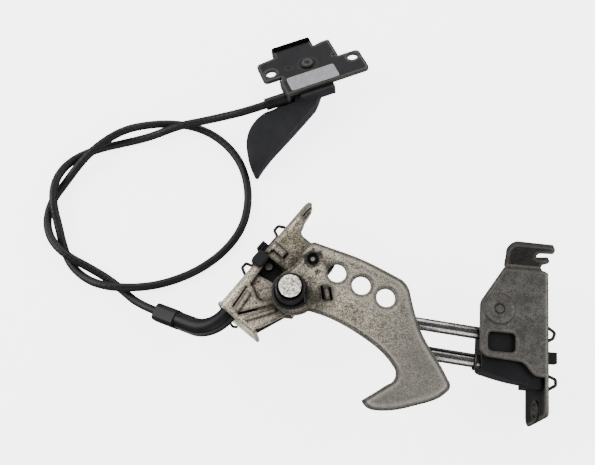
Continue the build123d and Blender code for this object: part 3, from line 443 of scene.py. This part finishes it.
def black_moulding(name, tone, lift, shine=0.42, gloss=0.35):
    finish, tree, shader = new_finish(name)
    spot = add(tree, "ShaderNodeTexCoord").outputs["Object"]
    fine = add(tree, "ShaderNodeTexNoise",
               {"Scale": 1 / SPARK_GRAIN, "Detail": 4, "Roughness": 0.6}, {"Vector": spot})
    mark = add(tree, "ShaderNodeTexNoise",
               {"Scale": 1 / HANDLING_MARK, "Detail": 5, "Roughness": 0.62}, {"Vector": spot})
    ramp = add(tree, "ShaderNodeValToRGB", None, {"Fac": mark.outputs["Fac"]},
               stops=[(0.35, linear(tone)), (0.7, linear(lift))])
    soft = add(tree, "ShaderNodeBevel", {"Radius": MOULD_ROUNDING}, samples=6)
    # A paler coat along the edges paints a sheen on them.
    colour = coated(tree, ramp.outputs["Color"], edge_mask(tree, soft), 0.35, "3c3c3e")
    tree.links.new(colour, shader.inputs["Base Color"])
    rough = add(tree, "ShaderNodeMapRange", {"To Min": shine - 0.1, "To Max": shine + 0.16},
                {"Value": mark.outputs["Fac"]})
    tree.links.new(rough.outputs["Result"], shader.inputs["Roughness"])
    bump = add(tree, "ShaderNodeBump", {"Strength": 0.4, "Distance": SPARK_DEPTH},
               {"Height": fine.outputs["Fac"], "Normal": soft.outputs["Normal"]})
    tree.links.new(bump.outputs["Normal"], shader.inputs["Normal"])
    shader.inputs["IOR"].default_value = 1.5
    shader.inputs["Specular IOR Level"].default_value = gloss
    return finish


guide_finish = black_moulding("moulded_black_nylon", "0c0c0e", "141417", gloss=0.25)
lever_finish = black_moulding("grained_black_lever_nylon", "17171b", "212126", shine=0.5)
buffer_finish = black_moulding("black_buffer_rubber", "0e0e0f", "151516", shine=0.62)
spring_finish = black_moulding("oiled_black_spring_wire", "0c0c0d", "151516", shine=0.34)

# %% [markdown]
# The label is a bare sticker of grey foil. Foil stays smooth, with a light cloudy tone where glue
# and dust show through.

# %% Bare label foil
FOIL_CLOUD = 0.0025
label_finish, tree, shader = new_finish("bare_grey_label_foil")
spot = add(tree, "ShaderNodeTexCoord").outputs["Object"]
dust = add(tree, "ShaderNodeTexNoise", {"Scale": 1 / FOIL_CLOUD, "Detail": 6, "Roughness": 0.6},
           {"Vector": spot})
foil = add(tree, "ShaderNodeValToRGB", None, {"Fac": dust.outputs["Fac"]},
           stops=[(0.3, linear("6c6c6f")), (0.7, linear("848487"))])
tree.links.new(foil.outputs["Color"], shader.inputs["Base Color"])
shader.inputs["Metallic"].default_value = 0.15
shader.inputs["Roughness"].default_value = 0.38

# %% [markdown]
# Each solid of the CAD model is one node of the frame, and gets the finish of the real piece.

# %% Dress the CAD nodes
def dress(finish, *names):
    for name in names:
        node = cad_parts[name]
        node.data.materials.clear()
        node.data.materials.append(finish)
    print(finish.name, "on", ", ".join(names))


dress(hook_plate_finish, "hook")
dress(catch_sheet_finish, "catch_bracket")
dress(inner_plate_finish, "backing_plate")
dress(striker_sheet_finish, "striker_bracket")
dress(handle_sheet_finish, "handle_bracket", "lever_rivet")
dress(inner_sheet_and_shade_finish, "bow_carrier")
dress(rivet_finish, "pivot_pin")
dress(rod_finish, "striker_bow")
dress(wire_finish, "cable_core_lower", "cable_core_upper", "bow_tie_wire")
dress(clip_finish, "guide_clip", "panel_clip_left", "panel_clip_right")
dress(nipple_finish, "cable_nipple_lower", "cable_nipple_upper", "hook_stud")
dress(guide_finish, "hook_hub", "release_arm", "cable_guide", "bow_guide")
dress(guide_finish, "clip_block_left", "clip_block_right", "upper_ferrule")
dress(lever_finish, "pull_lever")
dress(buffer_finish, "arm_buffer")
dress(spring_finish, "hook_spring")
dress(label_finish, "label_plate")

# %% [markdown]
# The arm that carries the rods stays out of sight under the hook. Its rounded foot would peep out
# below the pivot, so a copy of its mesh, merged and trimmed by a small block, stands for it. A
# CAD mesh is loose triangles, and the Boolean needs a closed one, so its doubles are merged first.

# %% Pieces that ride on a body
def show(name, mesh, finish, body):
    piece = new_object(name, mesh)
    mesh.materials.clear()
    mesh.materials.append(finish)
    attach(piece, body)
    print(name, len(mesh.polygons), "faces")
    return piece


# %% Trimmed carrier arm
TRIM_LOW = PIVOT + Vector((-0.014, -0.02, 0.03))
TRIM_HIGH = PIVOT + Vector((0.014, -0.0093, 0.035))
merged = bmesh.new()
merged.from_mesh(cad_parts["bow_carrier"].data)
bmesh.ops.remove_doubles(merged, verts=merged.verts, dist=0.000001)
uncut = new_object("uncut", new_mesh("carrier_arm", merged))
block = bmesh.new()
bmesh.ops.create_cube(block, size=1)
bmesh.ops.scale(block, vec=TRIM_HIGH - TRIM_LOW, verts=block.verts)
bmesh.ops.translate(block, vec=(TRIM_LOW + TRIM_HIGH) / 2, verts=block.verts)
cutter = new_object("cutter", new_mesh("cutter", block))
trim = uncut.modifiers.new("trim", "BOOLEAN")
trim.object = cutter
trim.operation = "DIFFERENCE"
trimmed = bpy.data.meshes.new_from_object(uncut.evaluated_get(bpy.context.evaluated_depsgraph_get()))
for helper in (uncut, cutter):
    bpy.data.objects.remove(helper)
carrier = show("carrier_arm", trimmed, inner_sheet_and_shade_finish, "fixed_frame")
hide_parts("bow_carrier")

# %% [markdown]
# Small pressings fill in the catch: a dark sheet under the slotted end of the bracket, which paints
# shade so that the slots look down into shade, a seat plate just under the bracket's opening, a
# raised tongue beside it, and a black sheet of painted shade under the hook's two slots. Each is a
# flat outline at the height of its underside, raised to its thickness, with its edges rounded.

# %% Slot shade sheets, seat and tongue
def pressed(name, outline, thickness, rounding, finish, body):
    shape = bmesh.new()
    face = shape.faces.new([shape.verts.new(place) for place in outline])
    side = bmesh.ops.extrude_face_region(shape, geom=[face])
    raised = [part for part in side["geom"] if isinstance(part, bmesh.types.BMVert)]
    bmesh.ops.translate(shape, vec=(0, 0, thickness), verts=raised)
    bmesh.ops.bevel(shape, geom=shape.edges[:], offset=rounding, segments=2, profile=0.5,
                    affect="EDGES", material=-1)
    bmesh.ops.recalc_face_normals(shape, faces=shape.faces)
    show(name, new_mesh(name, shape), finish, body)


SLOT_SHADE_UNDER = 0.0217
SEAT_UNDER = 0.0330
TONGUE_UNDER = 0.0359
HOOK_SLOT_SHADE_UNDER = 0.0374
slot_shade_corners = (
    (-0.0298, 0.0244), (-0.0298, 0.0026), (-0.0180, -0.0020), (-0.0075, -0.0062), (-0.0075, 0.0244),
)
seat_corners = (
    (-0.0032, 0.0225), (-0.0007, 0.0090), (-0.0055, 0.0055),
    (-0.0155, 0.0080), (-0.0160, 0.0130), (-0.0125, 0.0235),
)
tongue_corners = (
    (0.0133, 0.0250), (0.0164, 0.0252), (0.0173, 0.0233),
    (0.0163, 0.0166), (0.0133, 0.0166), (0.0139, 0.0226),
)
hook_slot_shade_corners = ((0.0155, -0.0058), (0.0250, -0.0070), (0.0262, 0.0032), (0.0165, 0.0046))
# A dark sheet of painted shade under the slotted end of the bracket.
pressed("slot_shade_sheet", [on_catch(*corner, SLOT_SHADE_UNDER) for corner in slot_shade_corners],
        0.0013, 0.0002, inner_sheet_and_shade_finish, "fixed_frame")
pressed("inner_seat", [on_catch(*corner, SEAT_UNDER) for corner in seat_corners],
        0.00045, 0.0001, seat_finish, "fixed_frame")
pressed("pressed_tongue", [on_catch(*corner, TONGUE_UNDER) for corner in tongue_corners],
        0.0008, 0.0002, tongue_finish, "fixed_frame")
# A black sheet of painted shade under the hook's two slots.
pressed("hook_slot_shade_sheet", [PIVOT + Vector((x, y, HOOK_SLOT_SHADE_UNDER)) for x, y in hook_slot_shade_corners],
        0.0006, 0.00012, guide_finish, "hook")

# %% [markdown]
# The coil spring sits in a low black cup on the hook. It is a ring, so its section is spun round
# the pivot. The section's corners are a radius and a height above the hook's face.

# %% Spring cup
cup_section = ((0.00835, 0), (0.0098, 0), (0.0098, 0.0011), (0.0094, 0.0016), (0.0088, 0.0016),
               (0.00835, 0.0012))
ring = bmesh.new()
corners = [ring.verts.new(PIVOT + Vector((radius, 0, HOOK_TOP + rise))) for radius, rise in cup_section]
sides = [ring.edges.new(ends) for ends in zip(corners, corners[1:] + corners[:1])]
bmesh.ops.spin(ring, geom=corners + sides, cent=PIVOT, axis=UP, angle=math.tau, steps=72, use_merge=True)
bmesh.ops.recalc_face_normals(ring, faces=ring.faces)
show("spring_cup", new_mesh("spring_cup", ring), guide_finish, "hook")

# %% [markdown]
# The top of the handle plate ends in a rolled hem, which stiffens the edge and catches a line of
# light. It is a round bar with rounded ends, half sunk in the plate.

# %% Rolled hem
HEM_RADIUS = 0.0022
HEM_LENGTH = 0.0262
HEM_ROUNDING = 0.0009
hem_centre = HANDLE_BOSS + handle_along * -0.00375 + handle_across * 0.0228 - handle_normal * 0.0006
hem = bmesh.new()
bmesh.ops.create_cone(hem, segments=32, radius1=HEM_RADIUS, radius2=HEM_RADIUS, depth=HEM_LENGTH,
                      cap_ends=True)
rims = [e for e in hem.edges if all(abs(abs(v.co.z) - HEM_LENGTH / 2) < 1e-6 for v in e.verts)]
bmesh.ops.bevel(hem, geom=rims, offset=HEM_ROUNDING, segments=4, profile=0.5, affect="EDGES",
                material=-1)
turn = Matrix((handle_across, handle_normal, handle_along)).transposed()
bmesh.ops.rotate(hem, cent=(0, 0, 0), matrix=turn, verts=hem.verts)
bmesh.ops.translate(hem, vec=hem_centre, verts=hem.verts)
bmesh.ops.recalc_face_normals(hem, faces=hem.faces)
hem_mesh = new_mesh("rolled_hem", hem)
for face in hem_mesh.polygons:
    face.use_smooth = True
show("rolled_hem", hem_mesh, handle_sheet_finish, "fixed_frame")

# %% [markdown]
# The cable sheath is a plastic tube over a wound steel liner, stiff enough to lie in wide easy
# loops and to climb over itself. It is one smooth NURBS line through the same route as the solid
# tube, given a round section of 5 mm. The route's points are in millimetres from the pivot, from
# the handle to the elbow. At both ends the sheath leaves its socket straight.

# %% Route of the sheath
sheath_start = HANDLE_BOSS + handle_across * -0.0186 + handle_normal * -0.005 - handle_along * 0.035
elbow_start = PIVOT + Vector((-0.0772, -0.0063, 0.012))
elbow_corner = on_catch(-0.0438, 0.0212, 0.0285)
elbow_in = (elbow_corner - elbow_start).normalized()
route = [
    (-41, 118.6, 13.6), (-55, 117, 10), (-72, 113.6, 9.6), (-90, 109, 3),
    (-106, 105, 2.6), (-121.2, 101.5, 2.6), (-134.6, 95.6, 3.7), (-143.3, 86.5, 6.7),
    (-147.5, 74.7, 9.1), (-146.7, 61.5, 9.5), (-143.5, 49, 5.1), (-140.5, 37.2, 2.6),
    (-135.3, 25.4, 2.6), (-126.2, 16.6, 4.3), (-114.1, 10.5, 9.2), (-99.6, 8.6, 9.8),
    (-84, 10.8, 3.8), (-68, 15.6, 2.6), (-53, 23, 2.6), (-39.6, 34, 2.6),
    (-30, 48, 2.6), (-26.6, 64, 2.6), (-28, 80, 2.6), (-34, 95, 2.6),
    (-46, 108, 2.6), (-61, 116, 2.6), (-78, 118.6, 2.6), (-93, 117, 3.8),
    (-106, 111.2, 9.3), (-118.6, 102.8, 9.8), (-130.4, 91.5, 9.2), (-142.5, 77.5, 2.6),
    (-148.9, 67, 3.1), (-151, 56.5, 4.4), (-149.7, 46.4, 6.3), (-144.6, 36.8, 8.2),
    (-135.1, 28.4, 9.2), (-121.5, 21.7, 5.6), (-111, 15.8, 2.6), (-101.6, 8.6, 2.6),
]
line = [sheath_start, sheath_start - handle_along * 0.0126]
line += [PIVOT + Vector(point) / 1000 for point in route]
line += [elbow_start - elbow_in * 0.0165, elbow_start]
print("sheath route", len(line), "points")

# %% Cable sheath
SHEATH_RADIUS = 0.0025
sheath_data = bpy.data.curves.new("sheath", "CURVE")
sheath_data.dimensions = "3D"
spline = sheath_data.splines.new("NURBS")
spline.points.add(len(line) - 1)
for point, place in zip(spline.points, line):
    point.radius = SHEATH_RADIUS
    point.co = (*place, 1)
spline.order_u = 3
spline.use_endpoint_u = True
spline.resolution_u = 8
sheath_data.bevel_depth = 1
sheath_data.bevel_resolution = 5
sheath_data.use_fill_caps = True
sheath = new_object("sheath", sheath_data)
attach(sheath, "fixed_frame")
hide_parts("cable_sheath")
sheath_length = spline.calc_length()
print("sheath length", round(sheath_length, 4))

# %% [markdown]
# The wound liner of such a sheath can show through the plastic as slanted ribs. A diagonal wave
# over the curve's own UV map, which runs along the sheath and round it, drives a bump for them.
# At this scale a whole wave takes two units, so the ribs are 3.2 mm apart, and they move on by
# half a rib on the way round, which leaves a seam. They are too faint to make out in a picture of
# the whole catch.

# %% Sheath plastic
HALF_RIB = 0.0016
UNIT_WAVE = 0.314
HAZE = 0.015
sheath_finish, tree, shader = new_finish("ribbed_black_sheath_plastic")
own_map = add(tree, "ShaderNodeTexCoord").outputs["UV"]
stretched = add(tree, "ShaderNodeMapping", {"Scale": (sheath_length / HALF_RIB, 1, 1)},
                {"Vector": own_map})
rib = add(tree, "ShaderNodeTexWave", {"Scale": UNIT_WAVE, "Distortion": 0},
          {"Vector": stretched.outputs["Vector"]}, bands_direction="DIAGONAL")
spot = add(tree, "ShaderNodeTexCoord").outputs["Object"]
haze = add(tree, "ShaderNodeTexNoise", {"Scale": 1 / HAZE, "Detail": 5}, {"Vector": spot})
skin = add(tree, "ShaderNodeValToRGB", None, {"Fac": haze.outputs["Fac"]},
           stops=[(0.3, linear("0f0f10")), (0.7, linear("1a1a1c"))])
tree.links.new(skin.outputs["Color"], shader.inputs["Base Color"])
ribs = add(tree, "ShaderNodeBump", {"Strength": 0.5, "Distance": 0.0002}, {"Height": rib.outputs["Fac"]})
tree.links.new(ribs.outputs["Normal"], shader.inputs["Normal"])
shader.inputs["Roughness"].default_value = 0.5
shader.inputs["Specular IOR Level"].default_value = 0.3
sheath_data.materials.append(sheath_finish)

# %% [markdown]
# The photograph has a plain white ground without shadows, as on a light table, and soft light from
# all round. A large pale floor that glows gives the first. Polished parts don't mirror it, so that
# upright walls stay dark as in the photograph.

# %% Floor
FLOOR_GLOW = 4
ground = bmesh.new()
bmesh.ops.create_grid(ground, x_segments=1, y_segments=1, size=3)
floor_mesh = new_mesh("floor", ground)
floor = new_object("floor", floor_mesh)
floor_finish, tree, shader = new_finish("pale_floor_paint")
shader.inputs["Base Color"].default_value = linear("f6f6f6")
shader.inputs["Roughness"].default_value = 0.9
shader.inputs["Emission Color"].default_value = (1, 1, 1, 1)
shader.inputs["Emission Strength"].default_value = FLOOR_GLOW
floor_mesh.materials.append(floor_finish)
floor.visible_glossy = False

# %% [markdown]
# Four big soft boxes and a faint even sky give the soft light. Each box has its place and its
# power in watts, and looks at the middle of the floor. The left one is the strongest.

# %% Light
SKY_STRENGTH = 0.12
BOX_WIDTH = 0.8
soft_boxes = {
    "left_box": ((-0.85, 0.15, 0.55), 12),
    "right_box": ((0.85, 0.1, 0.6), 7),
    "front_box": ((0.05, -0.9, 0.55), 4),
    "back_box": ((0, 0.95, 0.5), 8),
}
world = bpy.data.worlds.new("studio")
bpy.context.scene.world = world
world.use_nodes = True
world.node_tree.nodes["Background"].inputs["Color"].default_value = (1, 1, 1, 1)
world.node_tree.nodes["Background"].inputs["Strength"].default_value = SKY_STRENGTH
for name, (place, power) in soft_boxes.items():
    lamp = bpy.data.lights.new(name, "AREA")
    lamp.energy = power
    lamp.size = BOX_WIDTH
    holder = new_object(name, lamp)
    holder.location = place
    holder.rotation_euler = (-Vector(place)).to_track_quat("-Z", "Y").to_euler()
    print(name, power, "W")

# %% Update the scene
bpy.context.view_layer.update()
